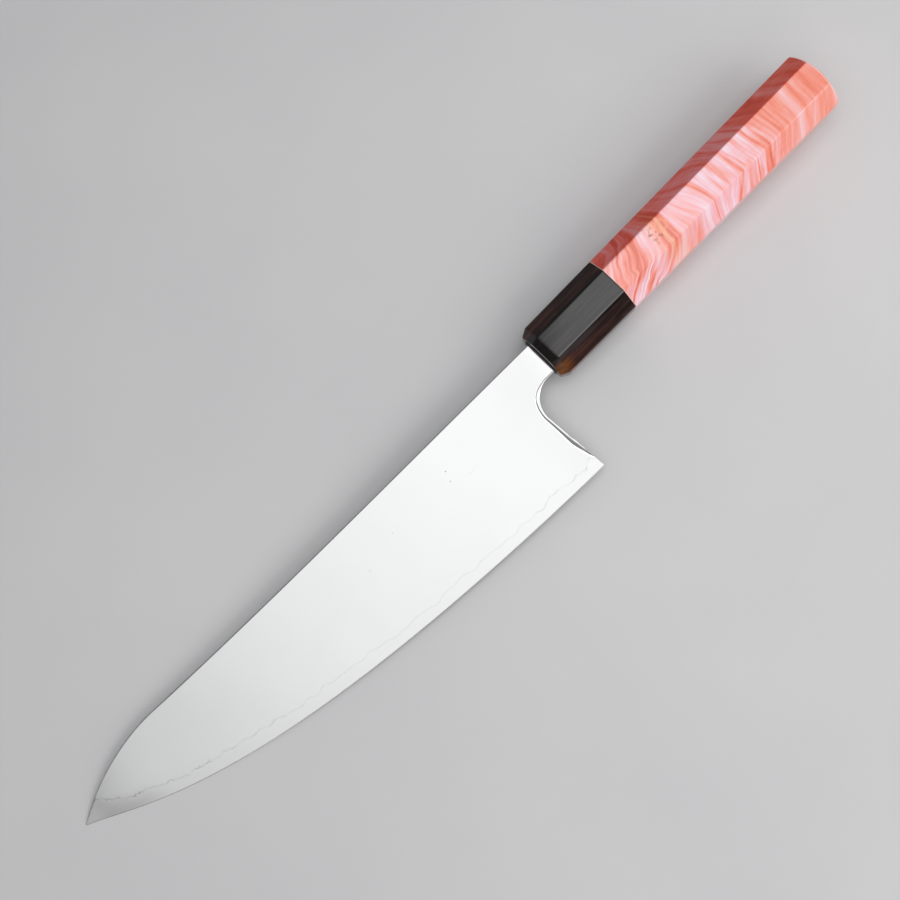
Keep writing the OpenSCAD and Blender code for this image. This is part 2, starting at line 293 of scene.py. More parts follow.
# Ribs stand upright, but turn to HEEL_WAY over the last stretch before the heel, and back over its corner.
# Their heads lean towards the tip there. Behind the heel, heads spread along the spine to the neck's end.
UPWARD = np.array([0.0, 1.0])
HEEL_WAY = np.array([-0.7, 0.7])
HEEL_TURN = 30 * MM
CORNER_TURN = 6 * MM
RIB_LEAN = 42 * MM
RIB_LEAN_RUN = 110 * MM
HEAD_SPREAD = ((0, 0.45, 0.82, 1), (0, 0.6, 0.86, 1))

# The first rib stands this far behind LINE_END, and the last but one this far before the heel's corner
RIB_START = 0.15 * MM
RIB_STOP = 0.05 * MM

# The rim stays at least LEAST_HALF thick to either side of the middle, and the cladding on it LEAST_SKIN.
# Nothing is divided by a height of less than LEAST_TALL.
LEAST_HALF = 0.1 * MM
LEAST_SKIN = 0.03 * MM
LEAST_TALL = 0.001 * MM

# The layer line's height above the edge at the tip, in millimetres, and how much it falls in each one.
# Ahead of LINE_END it is on the spine, and it comes down behind that over a few LINE_CLIMB.
LINE_HIGH = 5.17
LINE_FALL = 0.0062
LINE_CLIMB = 1.6 * MM

# Where the blade is low, these are limited to shares of its height: the layer line, the rim's rounding and
# bevel, and the crown. The edge's bevel is limited to a share of the layer line's height.
LINE_SHARE = 0.85
ROUNDED_SHARE = 0.1
FILED_SHARE = 0.2
CROWN_SHARE = 0.3
EDGE_SHARE = 0.2

# Waves that forging left in the layer line: how long, how high and how turned each one is
LINE_WAVES = (
    (14.46, 0.20, 2.14), (7.33, 0.31, 0.01), (3.17, 0.23, 5.11), (2.64, 0.25, 4.33), (2.48, 0.22, 5.48),
    (1.56, 0.17, 0.15), (1.34, 0.17, 3.18), (1.04, 0.22, 3.54), (0.99, 0.20, 5.89),
)


def line_rise(x):
    """Height of the layer line above the edge. Near the tip it climbs to the spine."""
    s = (x - TIP[0]) / MM
    plain = LINE_HIGH - LINE_FALL * s
    for long, high, turn in LINE_WAVES:
        plain = plain + high * np.sin(s / long + turn)
    tall = spine_line(x) - edge_line(x)
    climb = np.exp(-np.maximum(s * MM - LINE_END, 0) / LINE_CLIMB)
    return np.minimum(plain * MM, LINE_SHARE * tall) * (1 - climb) + tall * climb


def spine_half(x):
    """Half the thickness of the spine."""
    return EDGE_HALF + (SPINE_HALF - EDGE_HALF) * (1 - np.exp(-np.maximum(x - TIP[0], 0) / TAPER_LEN))


def side_z(x, y):
    """Height of the left side above the blade's middle plane."""
    low, high = edge_line(x), spine_line(x)
    tall = np.maximum(high - low, LEAST_TALL)
    up = np.clip(y - low, 0, None)
    top = spine_half(x)
    share = np.clip((up - EDGE_HIGH) / np.maximum(tall - EDGE_HIGH, LEAST_TALL), 0, 1)
    ground = EDGE_HALF + (top - EDGE_HALF) * (1 - (1 - share) ** GRIND_POWER)
    ground = np.where(up < EDGE_HIGH, EDGE_HALF * up / EDGE_HIGH, ground)
    round_r = np.minimum(SPINE_ROUND, SPINE_ROUND_SHARE * top)
    short = np.clip(round_r - (high - y), 0, round_r)
    return np.minimum(ground, top) - (round_r - np.sqrt(round_r**2 - short**2)) * (ground > EDGE_HALF)


def layer_z(x, y):
    """Height of the face where the cladding lies on the core. Above the line the core soon evens out."""
    line_y = edge_line(x) + line_rise(x)
    at_line = side_z(x, line_y)
    fade = np.exp(-np.maximum(y - line_y, 0) / CORE_FADE)
    return np.minimum(CORE_HALF + (at_line - CORE_HALF) * fade, side_z(x, y))


def back_x(y):
    """The heel's back edge, which leans forward as it rises."""
    return HEEL[0] - (y - HEEL[1]) * math.tan(HEEL_LEAN)


CHOIL_Y = -NECK_HALF - CHOIL_R
CHOIL_X = HEEL[0] + (CHOIL_R - (CHOIL_Y - HEEL[1]) * math.sin(HEEL_LEAN)) / math.cos(HEEL_LEAN)


def lower_outline():
    """The cladding's lower outline past the layer line, its inward directions and its runs from there."""
    line_y = HEEL[1] + line_rise(HEEL[0])
    arc = np.linspace(math.pi + HEEL_LEAN, math.pi / 2, CHOIL_POINTS)
    arc_points = np.stack([CHOIL_X + CHOIL_R * np.cos(arc), CHOIL_Y + CHOIL_R * np.sin(arc)], 1)
    rise = np.linspace(line_y, arc_points[0][1], BACK_POINTS)[:-1]
    back = np.stack([back_x(rise), rise], 1)
    neck_x = np.linspace(arc_points[-1][0], NECK_END, NECK_POINTS)[1:]
    neck = np.stack([neck_x, np.full_like(neck_x, -NECK_HALF)], 1)
    points = np.concatenate([back, arc_points, neck])
    forward = np.array([-math.cos(HEEL_LEAN), -math.sin(HEEL_LEAN)])
    inward = np.concatenate([
        np.tile(forward, (len(back), 1)),
        np.stack([np.cos(arc), np.sin(arc)], 1),
        np.tile(UPWARD, (len(neck), 1)),
    ])
    turn = np.clip((points[:, 1] - line_y) / CORNER_TURN, 0, 1)[:, None]
    inward = HEEL_WAY * (1 - turn) + inward * turn
    inward /= np.linalg.norm(inward, axis=1)[:, None]
    run = np.concatenate([[0], np.cumsum(np.linalg.norm(np.diff(points, axis=0), axis=1))]) / MM
    return points, inward, run


def slope_drop(into, width, start, end):
    """How far a surface drops at a distance into a stretch whose slope goes from start to end."""
    t = np.clip(into, 0, width)
    return start * t + (end - start) * t**2 / (2 * width)


def rim_drop(depth, run):
    """How far the rim lies below the side, at depths in from the outline and at runs along it."""
    filed, rounding = np.interp(run, RIM_RUN, FILED_WIDTH), np.interp(run, RIM_RUN, ROUNDED_WIDTH)
    filed_slopes = [np.interp(run, RIM_RUN, slopes) for slopes in (FILED_START, FILED_END)]
    rounded_slopes = [np.interp(run, RIM_RUN, slopes) for slopes in (ROUNDED_START, ROUNDED_END)]
    deep = depth / MM
    drop = slope_drop(filed + rounding - deep, filed, *filed_slopes)
    return (drop + slope_drop(rounding - deep, rounding, *rounded_slopes)) * MM


def rib_ends():
    """Where the ribs stand on the lower outline and end on the spine.

    Returns their feet, their heads, their directions at the foot and the runs of the rim there.
    """
    start = TIP[0] + LINE_END + RIB_START
    end = back_x(HEEL[1] + line_rise(HEEL[0]))
    along = start + (end - start) * np.linspace(0, 1, RIB_COUNT) ** RIB_CROWDING
    along[-2] = end - RIB_STOP
    line = np.stack([along, edge_line(along) + line_rise(along)], 1)
    low, inward, run = lower_outline()
    turn = np.clip((along - end) / HEEL_TURN + 1, 0, 1)[:, None] ** 2
    up = UPWARD * (1 - turn) + HEEL_WAY * turn
    up /= np.linalg.norm(up, axis=1)[:, None]
    lean = RIB_LEAN * np.clip((along - end) / RIB_LEAN_RUN + 1, 0, 1) ** 2
    last_head = along[-1] - lean[-1]
    spread = np.interp(run[1:] / run[-1], *HEAD_SPREAD)
    heads_x = np.concatenate([along - lean, last_head + (NECK_END - last_head) * spread])
    heads = np.stack([heads_x, spine_line(np.minimum(heads_x, 0))], 1)
    tang_x = np.linspace(NECK_END + SHOULDER, TANG_END, TANG_RIBS)
    tang_half = np.interp(tang_x, (NECK_END, TANG_END), (TANG_HALF, TANG_END_HALF))
    return (
        np.concatenate([line, low[1:], np.stack([tang_x, -tang_half], 1)]),
        np.concatenate([heads, np.stack([tang_x, tang_half], 1)]),
        np.concatenate([up, inward[1:], np.tile(UPWARD, (TANG_RIBS, 1))]),
        np.concatenate([np.zeros(RIB_COUNT), run[1:], np.zeros(TANG_RIBS)]),
    )


def blade_ribs():
    """Ribs from the layer line, the heel's back edge, the choil and the neck to the spine, and up the tang.

    Returns the places of the ribs' points and how far the rim drops below the side at each.
    """
    feet, heads, ways, run = rib_ends()
    tall = np.linalg.norm(heads - feet, axis=1)
    rounding = np.minimum(np.interp(run, RIM_RUN, ROUNDED_WIDTH) * MM, ROUNDED_SHARE * tall)
    filed = np.minimum(np.interp(run, RIM_RUN, FILED_WIDTH) * MM, FILED_SHARE * tall)
    depths = [rounding * f for f in ROUNDED_STEPS] + [rounding + filed * f for f in FILED_STEPS]
    foot_end = feet + ways * depths[-1][:, None]
    head_start = heads - UPWARD * np.minimum(CROWN_DEEP, CROWN_SHARE * tall)[:, None]
    rows = [feet + ways * depth[:, None] for depth in depths]
    drops = [rim_drop(depth, run) for depth in depths]
    for f in np.linspace(0, 1, SIDE_POINTS)[1:]:
        rows.append(foot_end + (head_start - foot_end) * f)
    for f in CROWN_STEPS:
        rows.append(head_start + (heads - head_start) * f)
    drops += [np.zeros(len(feet))] * (len(rows) - len(drops))
    return np.array(rows), np.array(drops)


def on_blade(rows, height):
    """Rows of points in the blade's plane, lifted to a height over it."""
    return np.concatenate([rows, height(rows[..., 0], rows[..., 1])[..., None]], -1)


# The bare strip's columns ahead of the layer line, and the stretch before the heel where its columns lean
LEAD_POINTS = 46
LEAD_CROWDING = 1.3
LEAD_START = 0.02 * MM
STRIP_LEAN_RUN = 20 * MM


def bare_strip(line_x):
    """The core's bare strip as rows from the edge to the layer line, ending at the heel's back edge.

    Its columns stand under those of the layer line, and more stand ahead of it. Also returns how many do.
    """
    shares = np.linspace(0, 1, LEAD_POINTS)[:-1] ** LEAD_CROWDING
    ahead_x = TIP[0] + LEAD_START + (line_x[0] - TIP[0] - LEAD_START) * shares
    top_x = np.concatenate([ahead_x, line_x])
    rise = line_rise(top_x)
    lean = (HEEL[0] - line_x[-1]) * np.clip((top_x - line_x[-1]) / STRIP_LEAN_RUN + 1, 0, 1) ** 2
    bevel = np.minimum(EDGE_HIGH, EDGE_SHARE * rise)
    ups = [bevel * f for f in (0, 0.5, 1)] + [bevel + (rise - bevel) * f for f in STRIP_STEPS]
    rows = []
    for up in ups:
        x = top_x + lean * (1 - up / rise)
        rows.append(np.stack([x, edge_line(x) + up], 1))
    return np.array(rows), len(ahead_x)


def past_line(points):
    """How far points of the blade lie above the layer line, in millimetres."""
    x, y = np.array(points)[:, :2].T
    return (y - edge_line(x) - line_rise(np.minimum(x, HEEL[0]))) / MM


def blade_surfaces():
    """The blade's left side as rows of points: the cladding's outside and inside, and the bare strip.

    Also returns how many of the strip's columns stand ahead of the layer line.
    """
    rows, drops = blade_ribs()
    outer = on_blade(rows, side_z)
    inner = on_blade(rows, layer_z)
    outer[..., 2] = np.maximum(outer[..., 2] - drops, np.minimum(outer[..., 2], LEAST_HALF))
    skin_least = np.where(drops > 0, np.minimum(LEAST_SKIN, drops), 0)
    inner[..., 2] = np.minimum(inner[..., 2], outer[..., 2] - skin_least)
    strip, lead = bare_strip(rows[0, :RIB_COUNT, 0])
    strip = on_blade(strip, side_z)
    strip[0, :, 2] = 0
    strip[-1, lead:] = inner[0, :RIB_COUNT]
    return outer, inner, strip, lead


def build_core(inner, strip, lead, finish):
    """The core: its two sides, then what closes it at the tip, the spine, the rim and the tang's end."""
    core = Skin()
    for side in (1, -1):
        turn = np.array([1, 1, side])
        core.grid(strip * turn, flip=side < 0)
        core.grid(inner * turn, flip=side < 0)
    core.bridge(strip[:, 0])
    core.bridge(strip[-1, : lead + 1])
    core.bridge(inner[:, 0])
    core.bridge(inner[-1])
    core.bridge(inner[:, -1], flip=True)
    core.bridge(inner[0, RIB_COUNT - 1:], flip=True)
    core.bridge(strip[:, -1], flip=True)
    make_piece("core_blade", core.points, core.faces, finish, ["core_steel"],
               {"past_line": past_line(core.points)})


def build_cladding(name, side, outer, inner, finish):
    """The cladding of one side: its outside and inside, then what closes it all round."""
    turn = np.array([1, 1, side])
    skin = Skin()
    skin.grid(outer * turn, flip=side < 0)
    skin.grid(inner * turn, flip=side > 0)
    skin.grid(np.stack([outer[0], inner[0]]) * turn, flip=side > 0)
    skin.grid(np.stack([outer[-1], inner[-1]]) * turn, flip=side < 0)
    skin.grid(np.stack([outer[:, 0], inner[:, 0]]) * turn, flip=side < 0)
    skin.grid(np.stack([outer[:, -1], inner[:, -1]]) * turn, flip=side > 0)
    make_piece(name + "_skin", skin.points, skin.faces, finish, [name],
               {"past_line": past_line(skin.points)})


def build_blade(core_finish, cladding_finish):
    """The core and the two claddings. They share the faces between them, and all run on as the tang."""
    outer, inner, strip, lead = blade_surfaces()
    build_core(inner, strip, lead, core_finish)
    for name, side in (("cladding_left", 1), ("cladding_right", -1)):
        build_cladding(name, side, outer, inner, cladding_finish)


# ---- Handle ----

# Arrises are rounded over this much of both facets. A facet has points at these shares of its breadth.
ARRIS = 0.42 * MM
FACET_STEPS = (0.02, 0.12, 0.28, 0.5, 0.72, 0.88, 0.98)
CORNER_STEPS = 4


def octagon_ring(size):
    """Points round an octagon with softened corners, as y and z."""
    high, wide, cut = size
    corners = np.array([
        [high, wide - cut], [high - cut, wide], [cut - high, wide], [-high, wide - cut],
        [-high, cut - wide], [cut - high, -wide], [high - cut, -wide], [high, cut - wide],
    ])
    ring = []
    for i, corner in enumerate(corners):
        before, after = corners[i - 1], corners[(i + 1) % 8]
        back = (before - corner) / np.linalg.norm(before - corner) * ARRIS
        on = (after - corner) / np.linalg.norm(after - corner) * ARRIS
        ring.extend(rounded(corner + back, corner, corner + on, CORNER_STEPS))
        ring.extend(corner + on + (after - corner - 2 * on) * f for f in FACET_STEPS)
    return np.array(ring)


def ring_at(x, size):
    """The octagon's points at x."""
    ring = octagon_ring(size)
    return np.concatenate([np.full((len(ring), 1), x), ring], 1)


def inset(size, depth):
    """The size of an octagon whose facets all lie deeper."""
    return size - np.array([depth, depth, depth * (2 - math.sqrt(2))])


def round_hole(ring, x, radius):
    """The ring's points drawn in to a round hole at x."""
    away = np.linalg.norm(ring[:, 1:], axis=1)[:, None]
    return np.concatenate([np.full((len(ring), 1), x), ring[:, 1:] / away * radius], 1)


def slot_hole(ring, x, half_high, half_wide):
    """The ring's points drawn in to the neck's slot at x."""
    reach = np.maximum(np.abs(ring[:, 1]) / half_high, np.abs(ring[:, 2]) / half_wide)[:, None]
    return np.concatenate([np.full((len(ring), 1), x), ring[:, 1:] / reach], 1)


BORE_R = 6.05 * MM
MOUTH_WALL = 5 * MM
MOUTH_HALF = NECK_HALF + 0.25 * MM
SLOT_HALF = 1.35 * MM

# How much the edges are rounded: the joint's, the mouth's, and the chamfer's rear one ahead of it and behind
TRIM = 0.12 * MM
MOUTH_ROUND = 0.3 * MM
CHAMFER_ROUND = 0.4 * MM
BODY_ROUND = 0.5 * MM

# End faces have a ring of points at this share of their size
MOUTH_SHARE = 0.9
END_SHARE = 0.85

# A stretch longer than this gets more rings, two of them close to its ends
LONG_STRETCH = 5 * MM
STRETCH_STEPS = (0.01, *np.linspace(0, 1, 14)[1:-1], 0.99)


def build_ferrule(finish):
    """The horn ferrule, with its chamfered front, the neck's slot and the dowel's bore."""
    slope = CHAMFER_DEPTH / CHAMFER_LEN
    past_mouth = (MOUTH_ROUND, CHAMFER_DEPTH - MOUTH_ROUND * slope)
    on_chamfer = (CHAMFER_LEN - CHAMFER_ROUND, CHAMFER_ROUND * slope)
    corners = [
        [(0, CHAMFER_DEPTH + MOUTH_ROUND), (0, CHAMFER_DEPTH), past_mouth],
        [on_chamfer, (CHAMFER_LEN, 0), (CHAMFER_LEN + BODY_ROUND, 0)],
        [(FERRULE_LEN - TRIM, 0), (FERRULE_LEN, 0), (FERRULE_LEN, TRIM)],
    ]
    profile = np.concatenate([rounded(*np.array(c), steps) for c, steps in zip(corners, (4, 4, 2))])
    rings = [ring_at(x, inset(octagon(x), depth)) for x, depth in profile]
    face, end = rings[0], rings[-1]
    slot_end = slot_hole(face, MOUTH_WALL, MOUTH_HALF, SLOT_HALF)
    body = []
    for a, b in zip(rings, rings[1:]):
        body.append(a)
        if b[0][0] - a[0][0] > LONG_STRETCH:
            body.extend(a + (b - a) * f for f in STRETCH_STEPS)
    skin = Skin()
    skin.grid([
        slot_end,
        slot_hole(face, 0.0, MOUTH_HALF, SLOT_HALF),
        face * np.array([1, MOUTH_SHARE, MOUTH_SHARE]),
        *body,
        end,
        end * np.array([1, END_SHARE, END_SHARE]),
        round_hole(end, FERRULE_LEN, BORE_R),
        round_hole(end, MOUTH_WALL, BORE_R),
        slot_end,
    ], closed=True)
    make_piece("ferrule_horn", skin.points, skin.faces, finish, ["ferrule"])


BUTT_R = 24 * MM
BUTT_DEEP = 2.5 * MM
DOWEL_END = 90.5 * MM
GLUE_GAP = 0.05 * MM

# The lip around the butt is rounded over this much of the facets, and over about as much of the dome: the
# dome's ring is smaller by the share that LIP is of BUTT_HALF
LIP = 0.7 * MM
LIP_STEPS = 4
BUTT_HALF = 10 * MM
DOME_POINTS = 14
BODY_STEPS = (0.003, *np.linspace(0, 1, 40)[1:-1], 0.997)


def build_handle(finish):
    """The maple body, with the dowel's bore in its front and a domed butt."""
    front = FERRULE_LEN + GLUE_GAP
    centre = HANDLE_LEN - BUTT_R

    def domed(ring):
        """The ring with its points moved along the handle onto the butt's dome."""
        ring = ring.copy()
        ring[:, 0] = centre + np.sqrt(BUTT_R**2 - np.sum(ring[:, 1:] ** 2, axis=1))
        return ring

    edge = domed(ring_at(0, octagon(HANDLE_LEN - BUTT_DEEP)))
    before = edge - np.array([LIP, 0, 0])
    shrink = 1 - LIP / BUTT_HALF
    after = domed(edge * np.array([1, shrink, shrink]))
    profile = rounded(*np.array([(front, TRIM), (front, 0), (front + TRIM, 0)]), 2)
    nose = [ring_at(x, inset(octagon(front), depth)) for x, depth in profile]
    start = ring_at(front, octagon(front))
    rings = [
        round_hole(start, DOWEL_END, BORE_R),
        round_hole(start, front, BORE_R),
        nose[0] * np.array([1, END_SHARE, END_SHARE]),
        *nose,
        *(nose[-1] + (before - nose[-1]) * f for f in BODY_STEPS),
        *rounded(before, edge, after, LIP_STEPS),
        *(domed(after * np.array([1, k, k])) for k in np.linspace(1, 0, DOME_POINTS)[1:-1]),
    ]
    skin = Skin()
    skin.grid(rings, closed=True)
    skin.cap(rings[0], flip=True)
    skin.cap(rings[-1])
    make_piece("handle_maple", skin.points, skin.faces, finish, ["handle_body"])


# ---- Finishes ----

class Wire:
    """A node's output that does arithmetic: an expression adds the Math nodes that it needs."""

    def __init__(self, tree, socket):
        self.tree, self.socket = tree, socket

    def _maths(self, operation, *terms):
        return self.tree.add("ShaderNodeMath", {"operation": operation}, dict(enumerate(terms)))

    def __add__(self, other):
        return self._maths("ADD", self, other)

    def __radd__(self, other):
        return self._maths("ADD", other, self)

    def __sub__(self, other):
        return self._maths("SUBTRACT", self, other)

    def __rsub__(self, other):
        return self._maths("SUBTRACT", other, self)

    def __mul__(self, other):
        return self._maths("MULTIPLY", self, other)

    def __rmul__(self, other):
        return self._maths("MULTIPLY", other, self)

    def __pow__(self, other):
        return self._maths("POWER", self, other)

    def __abs__(self):
        return self._maths("ABSOLUTE", self)

    def least(self, other):
        return self._maths("MINIMUM", self, other)

    def ramp(self, start, end):
        """0 below start and 1 above end, or the other way round, with a soft turn at both."""
        return self.tree.add(
            "ShaderNodeMapRange",
            {"interpolation_type": "SMOOTHSTEP"},
            {"Value": self, "From Min": start, "From Max": end},
        )

    def band(self, middle, width):
        """1 at the middle, falling softly to 0 at width to either side."""
        return 1 - abs(self - middle).ramp(0.0, width)


class Nodes:
    """The nodes of a material, a light or the world."""

    def __init__(self, owner):
        owner.use_nodes = True
        self.nodes, self.links = owner.node_tree.nodes, owner.node_tree.links

    def plug(self, socket, value):
        if isinstance(value, Wire):
            self.links.new(value.socket, socket)
        else:
            socket.default_value = value

    def add(self, kind, settings=None, sockets=None, out=0):
        """Adds a node of a kind: its settings first, then its sockets' values or links."""
        node = self.nodes.new(kind)
        for key, value in (settings or {}).items():
            if key == "stops":
                ramp = node.color_ramp
                while len(ramp.elements) < len(value):
                    ramp.elements.new(0.5)
                for element, (place, colour) in zip(ramp.elements, value):
                    element.position = place
                    element.color = (*colour, 1)
            else:
                setattr(node, key, value)
        for key, value in (sockets or {}).items():
            self.plug(node.inputs[key], value)
        return Wire(self, node.outputs[out])

    def parts(self, vector):
        split = self.add("ShaderNodeSeparateXYZ", sockets={0: vector}).socket.node
        return [Wire(self, split.outputs[i]) for i in range(3)]

    def vector(self, x, y, z):
        return self.add("ShaderNodeCombineXYZ", sockets={0: x, 1: y, 2: z})

    def colours(self, factor, *stops):
        return self.add("ShaderNodeValToRGB", {"stops": stops}, {0: factor})


class Finish(Nodes):
    """A material and its shader."""

    def __init__(self, name, **constants):
        self.material = bpy.data.materials.new(name)
        super().__init__(self.material)
        self.nodes.clear()
        self.shader = self.nodes.new("ShaderNodeBsdfPrincipled")
        end = self.nodes.new("ShaderNodeOutputMaterial")
        self.links.new(self.shader.outputs[0], end.inputs["Surface"])
        self.set(**constants)

    def set(self, **values):
        for key, value in values.items():
            self.plug(self.shader.inputs[key.replace("_", " ")], value)

    def place(self):
        """The place on the knife in its own frame, in millimetres, as a vector."""
        return self.add("ShaderNodeMapping", {"vector_type": "POINT"}, {
            "Vector": self.add("ShaderNodeTexCoord", out="Object"),
            "Location": UNLAID.translation / MM,
            "Rotation": UNLAID.to_euler("XYZ"),
            "Scale": (1 / MM, 1 / MM, 1 / MM),
        })

    def facing(self, way):
        """How far the surface faces a way given in the knife's frame, from -1 to 1."""
        normal = self.add("ShaderNodeNewGeometry", out="Normal")
        laid_way = (LAID.to_3x3() @ Vector(way).normalized())[:]
        sockets = {0: normal, 1: laid_way}
        return self.add("ShaderNodeVectorMath", {"operation": "DOT_PRODUCT"}, sockets, out="Value")

    def stretched(self, vector, scale):
        return self.add("ShaderNodeVectorMath", {"operation": "MULTIPLY"}, {0: vector, 1: scale})

    def noise(self, vector, scale, detail=2.0, roughness=0.5, warp=0.0):
        return self.add("ShaderNodeTexNoise", sockets={
            "Vector": vector, "Scale": scale, "Detail": detail, "Roughness": roughness, "Distortion": warp,
        })

    def mix(self, factor, first, second, way="MIX"):
        """Mixes two colours."""
        settings = {"data_type": "RGBA", "blend_type": way}
        wire = self.add("ShaderNodeMix", settings, {"Factor": factor}, out=2)
        node = wire.socket.node
        for index, value in ((6, first), (7, second)):
            self.plug(node.inputs[index], (*value, 1) if isinstance(value, tuple) else value)
        return wire

    def bump(self, height, strength, distance):
        self.set(Normal=self.add("ShaderNodeBump", sockets={
            "Strength": strength, "Distance": distance, "Height": height,
        }))


# The grey that the layer line, the pits and the smudge darken the steel towards; the painted shade at the
# tip darkens it towards this grey too.
MARK_AND_SHADE_GREY = (0.16, 0.16, 0.165)


def line_shade(steel, here):
    """How dark the layer line is: uneven along it, and strongest at the tip and the heel."""
    past = steel.add("ShaderNodeAttribute", {"attribute_name": "past_line"}, out="Fac")
    jag = steel.noise(here, 0.6, 3.0, 0.6)
    uneven = steel.noise(here, 0.28, 3.0).ramp(0.40, 0.62)
    x = steel.parts(here)[0]
    tip = x.ramp(-130, -195)
    heel = x.ramp(-60, -15)
    line = (past + (2.8 + 1.4 * tip) * (jag - 0.5)).band(0.0, 0.4)
    return line * (0.01 + uneven * (0.04 + 0.28 * tip + 0.2 * heel) + 0.06 * tip)


def tip_painted_shade(steel, here):
    """Painted shade at the tip, towards its edge: a thin darkening that stands in for the darker reflection
    where the bevel curves there.
    """
    past = steel.add("ShaderNodeAttribute", {"attribute_name": "past_line"}, out="Fac")
    x = steel.parts(here)[0]
    return 0.24 * x.ramp(-190, -206) * x.ramp(-219, -212) * past.ramp(3.0, -4.0)


# Pits in the left side's polish: where each lies, x and y, and how big it is, in millimetres
PITS = ((-51.0, -4.1, 0.34), (-52.2, -7.6, 0.30), (-93.0, -9.5, 0.22), (-78.5, -6.0, 0.2))


def polished_cladding():
    """Soft outer steel, polished to a mirror, with faint lengthwise lines, a few pits and a smudge.

    Pits and smudge are on the left side only.
    """
    steel = Finish("polished_cladding", Metallic=1.0)
    here = steel.place()
    x, y, z = steel.parts(here)
    lines = steel.noise(steel.stretched(here, (0.06, 1.0, 1.0)), 3.0, 3.0)
    haze = steel.noise(here, 0.05, 3.0, 0.55)
    left = z.ramp(0.2, 0.5)
    pits = 0.0
    for pit_x, pit_y, size in PITS:
        away = ((x - pit_x) ** 2.0 + (y - pit_y) ** 2.0) ** 0.5
        pits = away.ramp(size, 0.4 * size) + pits
    pits = pits * left
    spread = steel.noise(steel.stretched(here, (0.5, 1.0, 1.0)), 0.9, 3.0, 0.6).ramp(0.5, 0.7)
    smudge = x.band(-46.0, 5.5) * y.band(-9.8, 1.7) * spread * left
    marks = line_shade(steel, here) + 0.75 * pits + 0.12 * smudge
    # The tip's darkening added here is painted shade.
    shade = (marks + tip_painted_shade(steel, here)).least(0.8)
    bright = steel.colours(haze, (0.3, (0.533, 0.535, 0.537)), (0.7, (0.546, 0.548, 0.550)))
    steel.set(
        Base_Color=steel.mix(shade, bright, MARK_AND_SHADE_GREY),
        Roughness=0.06 + 0.02 * haze + 0.01 * lines + 0.25 * pits + 0.08 * smudge,
    )
    return steel.material


def polished_core():
    """Hard core steel, polished a little hazier than the cladding."""
    steel = Finish("polished_core", Metallic=1.0)
    here = steel.place()
    lines = steel.noise(steel.stretched(here, (0.08, 1.0, 1.0)), 4.0, 3.0)
    bright = steel.colours(lines, (0.3, (0.528, 0.530, 0.532)), (0.7, (0.544, 0.546, 0.548)))
    # The tip's darkening added here is painted shade.
    shade = line_shade(steel, here) + tip_painted_shade(steel, here)
    steel.set(
        Base_Color=steel.mix(shade, bright, MARK_AND_SHADE_GREY),
        Roughness=0.09 + 0.03 * lines,
    )
    return steel.material


def dark_horn():
    """Buffalo horn: near black, brown streaks along it, amber where it is thin, under a high gloss. The top
    facet's paler grey towards the front is painted sheen, and a grey line along one arris is a painted
    highlight.
    """
    horn = Finish("dark_horn", IOR=1.36)
    here = horn.place()
    x, y, z = horn.parts(here)
    streak = horn.noise(horn.stretched(here, (0.07, 1.0, 1.0)), 0.55, 4.0, 0.6, 0.3)
    cloud = horn.noise(horn.stretched(here, (0.5, 1.0, 1.0)), 0.16, 3.0)
    brown = horn.colours(
        streak,
        (0.34, (0.010, 0.005, 0.004)),
        (0.47, (0.030, 0.012, 0.009)),
        (0.60, (0.062, 0.025, 0.020)),
        (0.74, (0.090, 0.038, 0.032)),
    )
    front = x.ramp(30.0, 6.0)
    edge_side = y.ramp(-5.4, -6.2) * (0.35 + 0.65 * front)
    spine_side = y.ramp(5.4, 6.2) * (0.38 + 0.34 * cloud.ramp(0.4, 0.6)) + 0.08
    # Painted sheen: the top facet is paler grey towards the front and the edge side, standing in for a
    # reflection of the overhead light; the faint grey streaks along it are the horn's own.
    painted_sheen_and_streaks = 0.8 * x.ramp(20.0, 1.0) * y.ramp(3.5, -3.0) + 0.3 * streak.ramp(0.45, 0.65)
    black = horn.mix(painted_sheen_and_streaks * x.ramp(2.8, 3.6), (0.006, 0.006, 0.006), (0.046, 0.045, 0.045))
    plain = horn.mix((edge_side + spine_side).least(1.0), black, brown)
    grey = y.band(-6.4, 1.5) * x.band(12.0, 16.0) * z.ramp(5.0, 8.0)
    plain = horn.mix(0.6 * grey, plain, (0.050, 0.040, 0.044))
    corner = x.ramp(8.0, 1.0) * y.ramp(-5.5, -8.5) * z.ramp(-4.0, 3.0)
    rear = cloud.ramp(0.48, 0.62) * x.ramp(14.0, 24.0) * y.ramp(5.0, 8.0)
    warm = (corner * (0.45 + 0.55 * streak.ramp(0.35, 0.6)) + 0.2 * rear).least(1.0)
    colour = horn.mix(warm, plain, (0.20, 0.062, 0.008))
    # Painted highlight: a pale grey line along the arris between the top facet and the edge-side facet,
    # standing in for the light's reflection there; it stops short of the chamfer.
    arris = horn.facing((0, -0.38, 0.92)).ramp(0.945, 0.985)
    painted_arris_highlight = arris * x.ramp(2.6, 4.0) * (0.5 + 0.5 * cloud)
    horn.set(
        Base_Color=horn.mix(painted_arris_highlight, colour, (0.15, 0.145, 0.145)),
        Roughness=0.09 + 0.05 * cloud,
    )
    return horn.material


# Stripes of curl that stand out on the left facet: the middle and half width of each, and how pale it is.
# The bands lean as they go through the handle, and STRIPE_OFFSET is how far they have moved at that facet.
CURL_STRIPES = (
    (41.5, 1.2, 0.16), (46.0, 1.6, -0.12), (62.5, 2.2, -0.08), (77.0, 0.9, -0.16), (80.5, 2.4, 0.10),
    (92.5, 1.0, 0.12), (95.3, 0.8, 0.12), (98.2, 1.2, 0.14), (101.2, 1.3, -0.20), (120.0, 1.2, 0.10),
)
STRIPE_OFFSET = 7.3

# The stretches over which the butt's colour and the spine-side facets' colour set in, in millimetres. On the
# spine-side facets that colour is a painted shade of deeper red, and their figure is stronger.
BUTT_START = (92.0, 122.0)
HIGH_SIDE = (4.95, 5.45)


